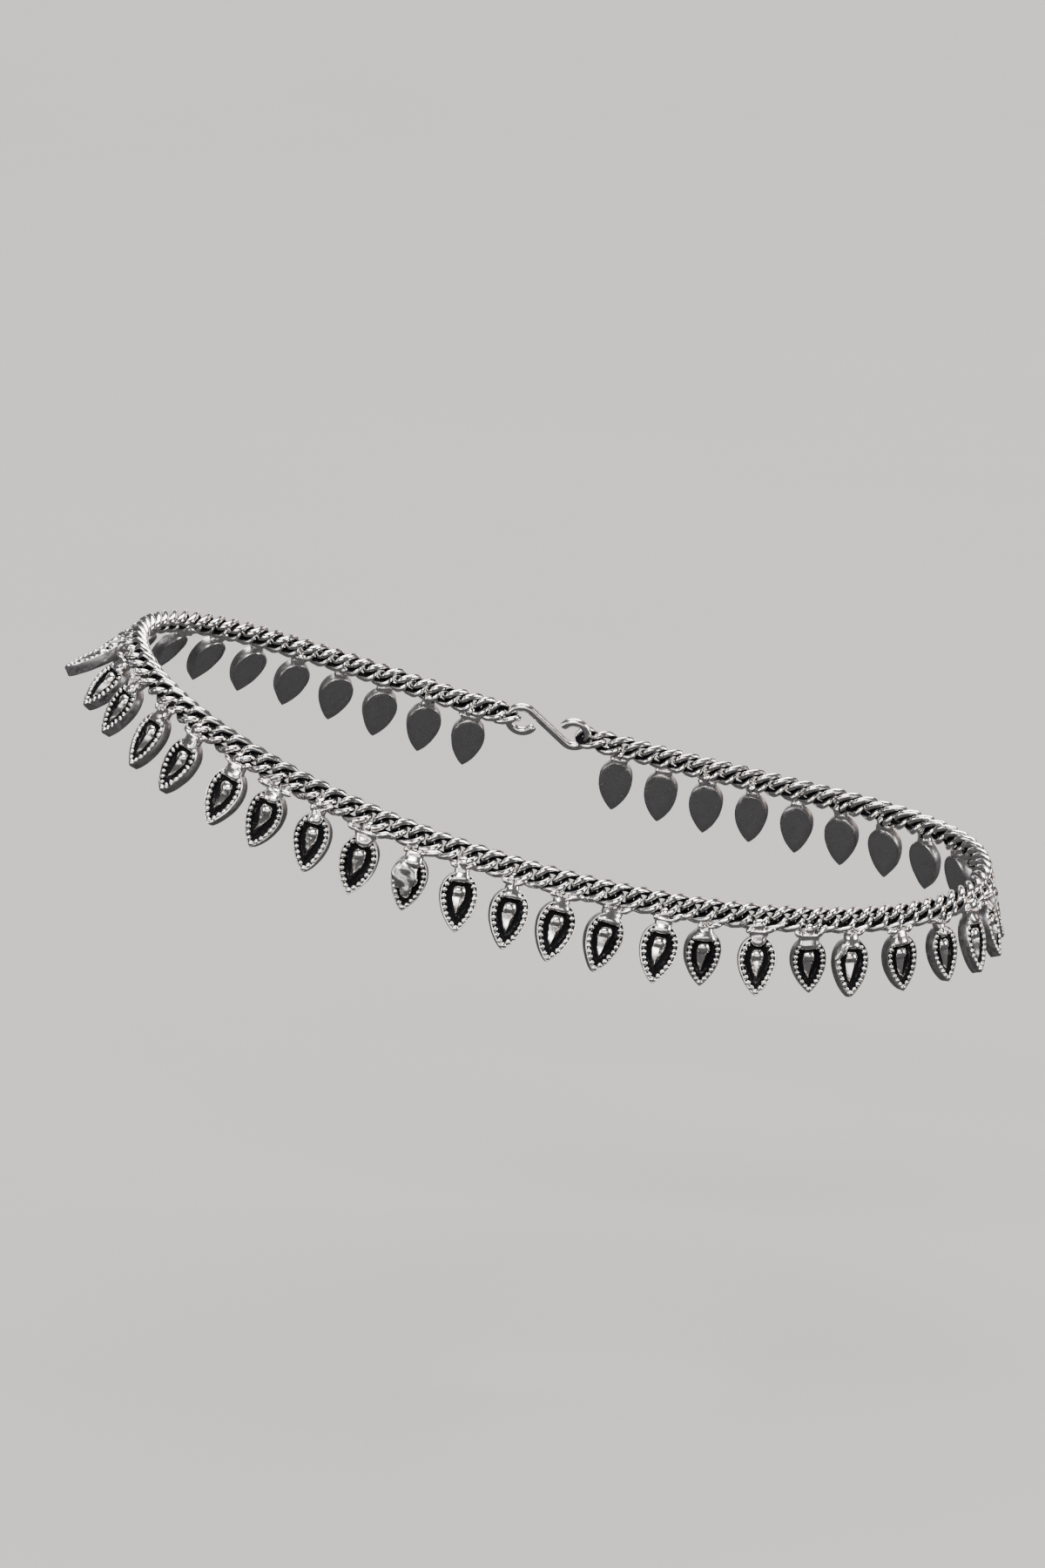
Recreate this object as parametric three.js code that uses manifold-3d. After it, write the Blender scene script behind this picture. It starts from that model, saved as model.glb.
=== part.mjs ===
// A payal, an anklet of oxidised silver: a curb chain hung with small pointed teardrops.
// It has the form that it takes on an ankle. Millimetres, +Z up.
// The toes are towards -X, the heel towards +X, and the side that shows towards -Y.
// The origin is the centre of the opening that the ankle fills.
import * as THREE from 'three';
import { mergeVertices } from 'three/addons/utils/BufferGeometryUtils.js';
import Module from 'manifold-3d';

const wasm = await Module();
wasm.setup();

// The loop that the chain's centre line follows
const loopLength = 97;
const loopWidth = 56;
const frontFullness = 0.04;
const sideFlatness = 0.044;
const heelDrop = 27.2;
const sideSag = 5.9;
const farSideRise = 0.074;

// How far the band tips outwards at its foot, in degrees
const frontLean = 50;
const sideLean = 12;
const leanSharpness = 4;

// The chain, whose links would close the loop without the clasp
const linkCount = 124;
const chainHeight = 3;
const chainDepth = 1.8;
const chainSides = 8;
const chainSteps = 80;

// One teardrop: a cast box with a raised rim, and a raised drop on its sunk floor
const leafLength = 6.5;
const leafWidth = 4.1;
const leafDepth = 1.3;
const leafPointedness = 0.7;
const leafSides = 18;
const rimWidth = 0.72;
const rimTipWidth = 1.35;
const floorDrop = 0.45;
const cutOvershoot = 1;
const boss = { length: 3.9, width: 1.45, height: 0.75, sides: 8, rings: 5 };

// The cast block that joins a teardrop to the chain
const blockWidth = 1.5;
const blockWaist = 1.1;
const blockDepth = 1.1;
const blockSides = 8;
const blockLap = 0.9;
const blockProud = 0.18;

// Where a teardrop hangs: its pivot is the foot of a link, and its back lies near the skin
const pivotDrop = 0.7;
const leafHang = 1.3;
const leafBack = 0.6;
const hangClearance = 0.42;

// The clasp: a plain double hook of round wire, behind the ankle
const claspPlace = 0.75;
const claspLength = 11;
const claspHeight = 4.4;
const claspWire = 1.1;
const claspEndAngle = 30;
const claspSides = 8;
const claspSteps = 36;
const claspClearance = 0.3;

// The teardrops that the ankle hides: how many hang on each side of the clasp, their room beside
// it, in links, and how much of the chain's slope each one takes
const heelSideCount = 10;
const toeSideCount = 9;
const claspMargin = 4.5;
const hiddenSwing = 0.6;

// The teardrops that show, from the toes to the heel along the near side.
// link is the place along the chain, counted in links from its foremost point.
// swing tips the point towards the toes, lean tips it outwards, and turn twists it on its own
// axis towards the heel, all in degrees.
const shownDrops = [
  { link: -2.2, swing: 5, lean: 58, turn: 0 },
  { link: 0.8, swing: -5, lean: 68, turn: 0 },
  { link: 2.9, swing: -3, lean: 46, turn: 20 },
  { link: 5.2, swing: 3, lean: 36, turn: 12 },
  { link: 8.3, swing: 9, lean: 33, turn: 4 },
  { link: 11.0, swing: 18, lean: 31, turn: 0 },
  { link: 13.9, swing: 18, lean: 25, turn: 0 },
  { link: 16.3, swing: 21, lean: 14, turn: 0 },
  { link: 18.7, swing: 10, lean: 16, turn: 0 },
  { link: 21.5, swing: 16, lean: 8, turn: 0 },
  { link: 24.2, swing: 13, lean: 6, turn: 0 },
  { link: 26.7, swing: 6, lean: 15, turn: 9 },
  { link: 29.6, swing: 11, lean: 15, turn: 9 },
  { link: 32.3, swing: 16, lean: 14, turn: 9 },
  { link: 35.0, swing: 19, lean: 13, turn: 9 },
  { link: 37.8, swing: 13, lean: 13, turn: -4 },
  { link: 40.0, swing: 6, lean: 0, turn: 0 },
  { link: 42.9, swing: 6, lean: 13, turn: -9 },
  { link: 45.7, swing: 0, lean: 1, turn: -8 },
  { link: 48.2, swing: 8, lean: 13, turn: 2 },
  { link: 51.1, swing: -3, lean: 3, turn: 0 },
  { link: 54.0, swing: -3, lean: 8, turn: 0 },
  { link: 56.8, swing: 8, lean: 15, turn: 0 },
  { link: 59.0, swing: -1, lean: 14, turn: 0 },
  { link: 61.3, swing: -6, lean: 13, turn: 0 },
];

// How finely the loop's length is measured, and how near two corners are when they are one
const lengthDivisions = 2000;
const weldDistance = 1e-5;

const degrees = THREE.MathUtils.degToRad;

// The loop's point at a turn round it: 0 at the toes, a quarter on the near side, half at the heel
function loopPoint(turn, target = new THREE.Vector3()) {
  const bulge = Math.sin(turn) + frontFullness * Math.sin(2 * turn) + sideFlatness * Math.sin(3 * turn);
  const across = -(loopWidth / 2) * bulge;
  const rise = (heelDrop / 2) * Math.cos(turn) + (sideSag / 2) * Math.cos(2 * turn);
  return target.set(-(loopLength / 2) * Math.cos(turn), across, rise + farSideRise * across);
}

// The outward tip of the band at a place on the loop, in radians
function bandLean(point) {
  const forward = (1 - point.x / (loopLength / 2)) / 2;
  const share = Math.pow(THREE.MathUtils.clamp(forward, 0, 1), leanSharpness);
  return degrees(sideLean + (frontLean - sideLean) * share);
}

// A stretch of the loop between two turns, with frames that keep the flat band leaning as worn
class LoopStretch extends THREE.Curve {
  constructor(startTurn, endTurn) {
    super();
    this.startTurn = startTurn;
    this.endTurn = endTurn;
    this.arcLengthDivisions = lengthDivisions;
  }

  getPoint(share, target) {
    return loopPoint(THREE.MathUtils.lerp(this.startTurn, this.endTurn, share), target);
  }

  // At a share of the stretch: its point, the ways along it and level with it, and the band's
  // own face and up
  frameAt(share) {
    const point = this.getPointAt(share);
    const along = this.getTangentAt(share);
    const level = new THREE.Vector3(along.x, along.y, 0).normalize();
    const out = new THREE.Vector3(level.y, -level.x, 0);
    const lean = bandLean(point);
    const up = new THREE.Vector3(0, 0, Math.cos(lean)).addScaledVector(out, -Math.sin(lean));
    const face = new THREE.Vector3().crossVectors(along, up).normalize();
    return { point, along, level, face, up: new THREE.Vector3().crossVectors(face, along) };
  }

  computeFrenetFrames(steps) {
    const frames = { tangents: [], normals: [], binormals: [] };
    for (let step = 0; step <= steps; step += 1) {
      const { along, face, up } = this.frameAt(step / steps);
      frames.tangents.push(along);
      frames.normals.push(face);
      frames.binormals.push(up.negate());
    }
    return frames;
  }
}

const wholeLoop = new LoopStretch(0, 2 * Math.PI);
const linkPitch = wholeLoop.getLength() / linkCount;
const claspLink = linkCount * claspPlace;

// The share of the whole loop at a place counted in links, also for places before the first
function shareOfLink(link) {
  return THREE.MathUtils.euclideanModulo(link / linkCount, 1);
}

function turnOfLink(link) {
  const laps = Math.floor(link / linkCount);
  return 2 * Math.PI * (wholeLoop.getUtoTmapping(shareOfLink(link)) + laps);
}

// The corners of a geometry's triangles, without those that a pole or seam has shrunk to a line
function fullTriangles(index) {
  const kept = [];
  for (let start = 0; start < index.count; start += 3) {
    const corners = [0, 1, 2].map((corner) => index.getX(start + corner));
    if (new Set(corners).size === 3) kept.push(...corners);
  }
  return new Uint32Array(kept);
}

// A closed mesh as a solid, with its shared corners merged
function solidOf(geometry) {
  const bare = geometry.clone();
  bare.deleteAttribute('normal');
  bare.deleteAttribute('uv');
  const merged = mergeVertices(bare, weldDistance);
  const vertProperties = new Float32Array(merged.attributes.position.array);
  const triVerts = fullTriangles(merged.index);
  return new wasm.Manifold(new wasm.Mesh({ numProp: 3, vertProperties, triVerts }));
}

function geometryOf(solid) {
  const mesh = solid.getMesh();
  const geometry = new THREE.BufferGeometry();
  geometry.setAttribute('position', new THREE.BufferAttribute(mesh.vertProperties, 3));
  geometry.setIndex(new THREE.BufferAttribute(mesh.triVerts, 1));
  return geometry;
}

// The pointed leaf outline, round at the top and hanging from there
function leafShape(length, width, topDrop) {
  const widest = 2 * Math.atan(1 / Math.sqrt(1 + leafPointedness));
  const bulge = (angle) => Math.sin(angle) * Math.pow(Math.cos(angle / 2), leafPointedness);
  const points = [];
  for (let side = 0; side < leafSides; side += 1) {
    const angle = (2 * Math.PI * side) / leafSides;
    const folded = angle > Math.PI ? 2 * Math.PI - angle : angle;
    const reach = ((width / 2) * bulge(folded)) / bulge(widest);
    const drop = topDrop + (length / 2) * (1 - Math.cos(folded));
    points.push(new THREE.Vector2(angle > Math.PI ? reach : -reach, -drop));
  }
  return new THREE.Shape(points);
}

// A leaf-shaped plate whose back is at backY and whose front is depth nearer the viewer
function leafPlate(length, width, topDrop, backY, depth) {
  const plate = new THREE.ExtrudeGeometry(leafShape(length, width, topDrop), {
    depth,
    bevelEnabled: false,
  });
  plate.rotateX(Math.PI / 2);
  plate.translate(0, backY, 0);
  return plate;
}

// The raised drop on the floor: a round head that narrows to a point below
function bossGeometry(topDrop, floorY) {
  const profile = [];
  for (let ring = boss.rings; ring >= 0; ring -= 1) {
    const angle = (Math.PI * ring) / boss.rings;
    const inside = ring > 0 && ring < boss.rings;
    const radius = inside ? Math.sin(angle) * Math.pow(Math.cos(angle / 2), leafPointedness) : 0;
    profile.push(new THREE.Vector2(radius, (-boss.length / 2) * (1 - Math.cos(angle))));
  }
  const widest = Math.max(...profile.map((point) => point.x));
  const drop = new THREE.LatheGeometry(profile, boss.sides);
  drop.scale(boss.width / 2 / widest, 1, boss.height / widest);
  drop.rotateX(Math.PI / 2);
  drop.translate(0, floorY, -topDrop);
  return drop;
}

// The block that laps over the rim's top, widest where it meets the chain
function blockGeometry(topDrop) {
  const height = leafHang + blockLap - topDrop;
  const block = new THREE.CylinderGeometry(blockWidth / 2, blockWaist / 2, height, blockSides);
  block.rotateX(Math.PI / 2);
  block.scale(1, blockDepth / blockWidth, 1);
  block.translate(0, leafBack - leafDepth - blockProud + blockDepth / 2, -(topDrop + height / 2));
  return block;
}

// One teardrop with its block, hanging from a pivot at the origin with its face towards -Y
function leafDropGeometry() {
  const floorY = leafBack - leafDepth + floorDrop;
  const recessLength = leafLength - rimWidth - rimTipWidth;
  const recessTop = leafHang + rimWidth;
  const recessWidth = leafWidth - 2 * rimWidth;
  const recess = leafPlate(recessLength, recessWidth, recessTop, floorY, floorDrop + cutOvershoot);
  const bossTop = recessTop + (recessLength - boss.length) / 2;
  const blockTop = chainHeight / 2 - pivotDrop + hangClearance;
  const body = solidOf(leafPlate(leafLength, leafWidth, leafHang, leafBack, leafDepth));
  const hollowed = body.subtract(solidOf(recess));
  const raised = hollowed.add(solidOf(bossGeometry(bossTop, floorY)));
  return geometryOf(raised.add(solidOf(blockGeometry(blockTop))));
}

// An oval section with straight sides, flat at its top, its foot and both flanks
function roundSection(width, height, sides) {
  const cornerReach = 1 / Math.cos(Math.PI / sides);
  const corners = [];
  for (let side = 0; side < sides; side += 1) {
    const angle = (2 * Math.PI * (side + 0.5)) / sides;
    const x = (width / 2) * cornerReach * Math.cos(angle);
    const y = (height / 2) * cornerReach * Math.sin(angle);
    corners.push(new THREE.Vector2(x, y));
  }
  return new THREE.Shape(corners);
}

// The chain as a flat band of its outer size, open where the clasp sits
function chainGeometry(openLinks) {
  const start = turnOfLink(claspLink - linkCount + openLinks / 2);
  const end = turnOfLink(claspLink - openLinks / 2);
  return new THREE.ExtrudeGeometry(roundSection(chainDepth, chainHeight, chainSides), {
    steps: chainSteps,
    extrudePath: new LoopStretch(start, end),
    bevelEnabled: false,
  });
}

// The clasp's wire: an S that lies along X, with an eye at each end
class DoubleHook extends THREE.Curve {
  constructor() {
    super();
    const eyeRadius = (claspHeight - claspWire) / 2;
    const eyeReach = claspLength / 2 - claspWire / 2 - eyeRadius;
    const waist = Math.acos(eyeRadius / eyeReach);
    this.outline = new THREE.Path();
    this.outline.absarc(-eyeReach, 0, eyeRadius, degrees(claspEndAngle), 2 * Math.PI - waist, false);
    this.outline.absarc(eyeReach, 0, eyeRadius, Math.PI - waist, degrees(claspEndAngle) - Math.PI, true);
  }

  getPoint(share, target = new THREE.Vector3()) {
    const { x, y } = this.outline.getPoint(share);
    return target.set(x, 0, y);
  }
}

function claspGeometry() {
  return new THREE.ExtrudeGeometry(roundSection(claspWire, claspWire, claspSides), {
    steps: claspSteps,
    extrudePath: new DoubleHook(),
    bevelEnabled: false,
  });
}

const silver = new THREE.MeshStandardMaterial({ color: 0xc9c6c1, metalness: 1, roughness: 0.28 });
const darkSilver = new THREE.MeshStandardMaterial({ color: 0xa8a5a1, metalness: 1, roughness: 0.38 });

// A group at a place on the loop, turned so that its X runs along the chain and -Y points out
function station(link) {
  const frame = wholeLoop.frameAt(shareOfLink(link));
  const place = new THREE.Group();
  place.position.copy(frame.point);
  place.rotation.z = Math.atan2(frame.level.y, frame.level.x);
  return { place, frame };
}

function hungDrop(row, geometry, name) {
  const { place, frame } = station(row.link);
  const drop = new THREE.Mesh(geometry, darkSilver);
  drop.name = name;
  drop.rotation.set(-degrees(row.lean), degrees(row.swing), degrees(row.turn));
  place.position.addScaledVector(frame.up, -pivotDrop);
  place.add(drop);
  return place;
}

// A teardrop that the ankle hides, leaning as the band does and partly following its slope
function hiddenRow(link) {
  const { point, along } = wholeLoop.frameAt(shareOfLink(link));
  const lean = THREE.MathUtils.radToDeg(bandLean(point));
  const slope = THREE.MathUtils.radToDeg(Math.asin(along.z));
  return { link, swing: -hiddenSwing * slope, lean, turn: 0 };
}

// The teardrops behind the ankle, evenly spaced between the shown ones and the clasp
function hiddenDrops() {
  const lastShown = shownDrops[shownDrops.length - 1].link;
  const firstShown = shownDrops[0].link + linkCount;
  const heelSideStep = (claspLink - claspMargin - lastShown) / heelSideCount;
  const toeSideStep = (firstShown - claspLink - claspMargin) / toeSideCount;
  const rows = [];
  for (let count = 1; count <= heelSideCount; count += 1) {
    rows.push(hiddenRow(lastShown + count * heelSideStep));
  }
  for (let count = toeSideCount; count >= 1; count -= 1) {
    rows.push(hiddenRow(firstShown - count * toeSideStep));
  }
  return rows;
}

function clasp() {
  const { place, frame } = station(claspLink);
  const hook = new THREE.Mesh(claspGeometry(), silver);
  hook.name = 'hook_clasp';
  hook.rotation.set(-bandLean(frame.point), -Math.asin(frame.along.z), 0);
  place.add(hook);
  return place;
}

function chain() {
  const openLinks = (claspLength + 2 * claspClearance) / linkPitch;
  const band = new THREE.Mesh(chainGeometry(openLinks), silver);
  band.name = 'curb_chain';
  return band;
}

const payal = new THREE.Group();
payal.add(chain());
payal.add(clasp());
const leafDrop = leafDropGeometry();
[...shownDrops, ...hiddenDrops()].forEach((row, index) => {
  payal.add(hungDrop(row, leafDrop, `leaf_drop_${String(index + 1).padStart(2, '0')}`));
});

export default payal;
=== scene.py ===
"""A payal of oxidised silver: curb links, cast teardrops and a hook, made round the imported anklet."""

import math
import random

import bmesh
import bpy
from bpy.props import FloatProperty, FloatVectorProperty, IntProperty, PointerProperty
from mathutils import Matrix, Vector, noise


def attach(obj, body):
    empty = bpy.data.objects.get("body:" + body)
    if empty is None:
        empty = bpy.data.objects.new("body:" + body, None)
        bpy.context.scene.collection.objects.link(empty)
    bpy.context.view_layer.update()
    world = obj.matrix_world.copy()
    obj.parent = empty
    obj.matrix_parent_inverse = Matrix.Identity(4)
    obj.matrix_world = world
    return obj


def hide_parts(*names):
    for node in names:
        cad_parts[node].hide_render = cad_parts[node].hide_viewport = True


bl_info = {
    "name": "Payal Anklet",
    "version": (1, 0, 0),
    "blender": (4, 5, 0),
    "location": "3D View > Sidebar > Payal",
    "description": "Makes an oxidised silver payal round its packed frame",
    "category": "Add Mesh",
}

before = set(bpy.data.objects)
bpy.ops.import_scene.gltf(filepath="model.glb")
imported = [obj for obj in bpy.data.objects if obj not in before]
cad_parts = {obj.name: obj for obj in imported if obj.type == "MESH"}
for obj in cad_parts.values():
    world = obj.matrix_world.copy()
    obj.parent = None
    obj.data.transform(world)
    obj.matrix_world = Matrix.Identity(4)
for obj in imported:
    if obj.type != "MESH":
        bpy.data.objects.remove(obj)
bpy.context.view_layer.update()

MM = 0.001
WELD = 1e-7
FULL_TURN = 2 * math.pi

# Where the noise that roughens the castings starts, so that every run makes the same ones
CAST_SEED = 8

# Clouds and pits in the finish, in each metre of metal, and how deep they look
CLOUDS = 1100
PITS = 5200
PIT_DEPTH = 0.06 * MM

# How far from a drop's pivot the link that holds it is looked for
LINK_RANGE = 2.5 * MM

# The leaf's sections from its back to the middle of its floor: how far each one is drawn in from
# the outline, how far forward of the back it lies, and how dark it is, from 0 to 1
LEAF_SECTIONS = (
    (0.75 * MM, 0.03 * MM, 0.24),
    (0.10 * MM, 0.00 * MM, 0.26),
    (0.00 * MM, 0.10 * MM, 0.34),
    (0.00 * MM, 0.60 * MM, 0.40),
    (0.00 * MM, 1.20 * MM, 0.36),
    (0.04 * MM, 1.30 * MM, 0.00),
    (0.12 * MM, 1.30 * MM, 0.00),
    (0.16 * MM, 1.12 * MM, 0.95),
    (0.62 * MM, 1.10 * MM, 1.00),
    (0.70 * MM, 0.92 * MM, 0.60),
    (0.80 * MM, 0.74 * MM, 0.60),
    (1.00 * MM, 0.70 * MM, 0.95),
    (1.45 * MM, 0.74 * MM, 1.00),
)
CHANNEL = LEAF_SECTIONS[8][1]
FLOOR = LEAF_SECTIONS[11][1]

# The share of the raised drop's height that its plain foot takes, and how far it is sunk in
BOSS_FOOT = 0.4
BOSS_SUNK = 0.08 * MM

# The raised drop's sections from its head to its tail's end: the share of its length; its width,
# its height and the sharpness of its ridge, each as a share of the most; and how dark it is
BOSS_SECTIONS = (
    (0.00, 0.34, 0.30, 0.0, 0.30),
    (0.02, 0.56, 0.58, 0.0, 0.00),
    (0.07, 0.80, 0.84, 0.0, 0.00),
    (0.14, 0.94, 0.96, 0.0, 0.00),
    (0.22, 1.00, 1.00, 0.2, 0.00),
    (0.29, 0.99, 0.96, 0.4, 0.10),
    (0.33, 0.95, 0.86, 0.8, 0.30),
    (0.38, 0.89, 0.92, 1.0, 0.05),
    (0.50, 0.73, 0.88, 1.0, 0.00),
    (0.65, 0.53, 0.80, 1.0, 0.00),
    (0.80, 0.33, 0.68, 1.0, 0.00),
    (0.92, 0.16, 0.52, 1.0, 0.00),
    (1.00, 0.06, 0.30, 1.0, 0.00),
)

# The cast block from its foot on the rim up to the chain: its height, its width, how far its
# front and its back stand forward of the pivot, and how dark it is
BLOCK_SECTIONS = (
    (-2.48 * MM, 1.40 * MM, 0.80 * MM, 0.10 * MM, 0.60),
    (-2.38 * MM, 1.90 * MM, 1.02 * MM, -0.10 * MM, 0.15),
    (-2.20 * MM, 2.05 * MM, 1.12 * MM, -0.25 * MM, 0.00),
    (-1.82 * MM, 2.00 * MM, 1.06 * MM, -0.40 * MM, 0.00),
    (-1.52 * MM, 1.84 * MM, 0.94 * MM, -0.45 * MM, 0.05),
    (-1.22 * MM, 1.80 * MM, 0.88 * MM, -0.45 * MM, 0.05),
    (-0.92 * MM, 1.90 * MM, 0.92 * MM, -0.40 * MM, 0.00),
    (-0.66 * MM, 1.50 * MM, 0.70 * MM, -0.20 * MM, 0.05),
)

# The power that squares the block's round section, how far its top leans to the side towards its
# wire, as a share of the way, and where its arms start
BLOCK_SQUARING = 0.7
BLOCK_LEAN = 0.8
ARM_DEPTH = -0.74 * MM
ARM_HEIGHT = -0.84 * MM

# The castings that show best in the photograph, by the drop's number: the leaf's size, how much
# the block widens upwards, its breadth, how far its left and right arms reach, and how steeply
# the right one rises
SEEN_CASTINGS = {
    4: (1.00, 0.4, 0.80, 0.6 * MM, 0.8 * MM, 0.8),
    5: (1.03, 0.1, 1.05, 0.3 * MM, 1.3 * MM, 0.3),
    6: (1.02, 0.2, 1.15, 0.9 * MM, 1.0 * MM, 0.6),
    7: (1.03, 0.1, 1.20, 1.0 * MM, 1.0 * MM, 0.9),
    8: (1.02, 0.3, 1.05, 1.3 * MM, 1.3 * MM, 0.1),
    9: (1.00, 0.1, 0.80, 0.4 * MM, 1.2 * MM, 0.7),
    10: (1.03, 0.8, 1.20, 0.9 * MM, 1.4 * MM, 0.5),
    11: (0.96, 0.2, 1.10, 0.3 * MM, 2.2 * MM, 0.3),
    12: (1.02, -0.1, 0.92, 0.9 * MM, 1.0 * MM, 0.7),
    13: (1.04, -0.5, 0.95, 0.9 * MM, 1.2 * MM, 0.6),
    14: (1.04, 0.0, 1.05, 0.8 * MM, 1.7 * MM, 0.4),
    15: (1.03, 0.1, 1.28, 0.3 * MM, 1.3 * MM, 0.8),
    16: (1.03, 0.3, 1.05, 0.3 * MM, 1.3 * MM, 0.7),
    17: (0.98, -0.7, 1.10, 0.6 * MM, 1.3 * MM, 0.2),
    18: (1.02, 0.7, 1.00, 0.3 * MM, 0.9 * MM, 0.5),
    19: (0.95, 0.2, 1.25, 0.8 * MM, 1.3 * MM, 1.2),
    20: (1.00, -0.1, 0.92, 0.3 * MM, 1.1 * MM, 0.9),
    21: (1.00, 0.0, 1.05, 1.3 * MM, 0.9 * MM, 0.4),
    22: (0.98, 0.5, 0.62, 0.9 * MM, 1.2 * MM, 1.0),
}

# Where beads have run together on a drop's rim: the side, and the first and last of them,
# counted from the tip
WORN_BEADS = {
    7: (1, 3, 5),
    8: (1, 3, 5),
    9: (1, 3, 6),
    13: (1, 4, 8),
    14: (1, 3, 5),
    20: (-1, 6, 10),
}

# The drops whose beads are narrow ribs that lie across the rim
RIBBED_RIMS = (3, 4, 6)

# How far forward of its channel a bead's middle lies
BEAD_PROUD = 0.08 * MM

# A bead's size as shares of its radius: along the rim, out of the face and across the rim
BEAD_SHAPES = {
    "round": (1, 0.92, 1),
    "ribbed": (0.75, 0.9, 1.3),
    "worn": (1.3, 0.85, 0.9),
    "tip": (1.35, 0.95, 1.05),
}

# Metal that has run over a drop: how far across the face its middle lies and how far below the
# leaf's top, how far it is tipped, and its half width, half depth and half length
METAL_RUNS = {
    11: (
        (-0.50 * MM, 2.3 * MM, math.radians(-14), (1.50 * MM, 0.62 * MM, 1.75 * MM)),
        (-0.10 * MM, 3.6 * MM, math.radians(-14), (0.75 * MM, 0.50 * MM, 1.30 * MM)),
    ),
    20: ((-1.20 * MM, 1.45 * MM, math.radians(40), (0.42 * MM, 0.42 * MM, 1.40 * MM)),),
}


def smooth_step(low, high, value):
    share = min(max((value - low) / (high - low), 0.0), 1.0)
    return share * share * (3 - 2 * share)


class LoopSizes(bpy.types.PropertyGroup):
    """The loop that the chain's centre line follows, as worn"""

    length: FloatProperty(
        name="Length", description="From toes to heel", default=97 * MM, unit="LENGTH"
    )
    width: FloatProperty(
        name="Width", description="Across the ankle", default=56 * MM, unit="LENGTH"
    )
    front_fullness: FloatProperty(
        name="Front fullness", description="How full the toe end is", default=0.04
    )
    side_flatness: FloatProperty(
        name="Side flatness", description="How flat the long sides are", default=0.044
    )
    heel_drop: FloatProperty(
        name="Heel drop",
        description="How far the heel end lies below the toe end",
        default=27.2 * MM,
        unit="LENGTH",
    )
    side_sag: FloatProperty(
        name="Side sag",
        description="How far both long sides hang below the ends",
        default=5.9 * MM,
        unit="LENGTH",
    )
    far_side_rise: FloatProperty(
        name="Far side rise", description="Slope from the near side up to the far side", default=0.074
    )
    front_lean: FloatProperty(
        name="Front lean",
        description="How far the band's foot tips outwards on the instep",
        default=math.radians(50),
        subtype="ANGLE",
    )
    side_lean: FloatProperty(
        name="Side lean",
        description="How far the band's foot tips outwards elsewhere",
        default=math.radians(12),
        subtype="ANGLE",
    )
    lean_sharpness: FloatProperty(
        name="Lean sharpness", description="How soon the instep's lean fades", default=4
    )
    clasp_place: FloatProperty(
        name="Clasp place", description="Share of the loop at which the clasp sits", default=0.75
    )


class LinkSizes(bpy.types.PropertyGroup):
    """One curb link in round wire"""

    wire: FloatProperty(
        name="Wire", description="Diameter of the wire", default=0.96 * MM, unit="LENGTH"
    )
    half_length: FloatProperty(
        name="Half length",
        description="From the link's middle to the wire's centre at its end",
        default=1.54 * MM,
        unit="LENGTH",
    )
    half_height: FloatProperty(
        name="Half height",
        description="From the link's middle to the wire's centre at its top",
        default=1.05 * MM,
        unit="LENGTH",
    )
    twist: FloatProperty(
        name="Twist",
        description="How far each end is turned out of the band's plane",
        default=math.radians(54),
        subtype="ANGLE",
    )
    count: IntProperty(name="Count", description="Links from eye to eye", default=120)
    bend_steps: IntProperty(name="Bend steps", description="Sections round a link", default=28)
    wire_sides: IntProperty(name="Wire sides", description="Corners of the wire", default=12)
    soldered: FloatProperty(
        name="Soldered", description="Share of the links with a rough joint", default=0.4
    )
    end_room: FloatProperty(
        name="End room",
        description="From the clasp's middle to the middle of the first link",
        default=5.43 * MM,
        unit="LENGTH",
    )


class DropSizes(bpy.types.PropertyGroup):
    """One cast teardrop"""

    length: FloatProperty(
        name="Length", description="Length of the leaf", default=6.5 * MM, unit="LENGTH"
    )
    width: FloatProperty(
        name="Width", description="Width of the leaf", default=4.1 * MM, unit="LENGTH"
    )
    hang: FloatProperty(
        name="Hang", description="From the pivot to the leaf's top", default=1.3 * MM, unit="LENGTH"
    )
    back: FloatProperty(
        name="Back", description="From the pivot back to the leaf's back", default=0.6 * MM, unit="LENGTH"
    )
    pointedness: FloatProperty(
        name="Pointedness", description="How sharply the leaf narrows", default=0.62
    )
    tip_inset: FloatProperty(
        name="Tip inset", description="How much wider the rim is at the tip", default=1.875
    )
    sides: IntProperty(name="Sides", description="Corners of the leaf's outline", default=36)
    bead: FloatProperty(
        name="Bead", description="Diameter of a rim bead", default=0.60 * MM, unit="LENGTH"
    )
    bead_inset: FloatProperty(
        name="Bead inset", description="From the outline to the beads", default=0.41 * MM, unit="LENGTH"
    )
    bead_tip_inset: FloatProperty(
        name="Bead tip inset", description="How much further in the tip's bead lies", default=1.1
    )
    bead_count: IntProperty(name="Beads", description="Beads round the rim", default=22)
    boss_length: FloatProperty(
        name="Boss length", description="Length of the raised drop", default=3.8 * MM, unit="LENGTH"
    )
    boss_width: FloatProperty(
        name="Boss width", description="Width of the raised drop", default=1.52 * MM, unit="LENGTH"
    )
    boss_height: FloatProperty(
        name="Boss height",
        description="How far the raised drop stands off the floor",
        default=0.86 * MM,
        unit="LENGTH",
    )
    boss_drop: FloatProperty(
        name="Boss drop", description="From the leaf's top to the boss", default=1.35 * MM, unit="LENGTH"
    )
    unevenness: FloatProperty(
        name="Unevenness", description="How rough the casting is", default=0.035 * MM, unit="LENGTH"
    )


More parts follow.
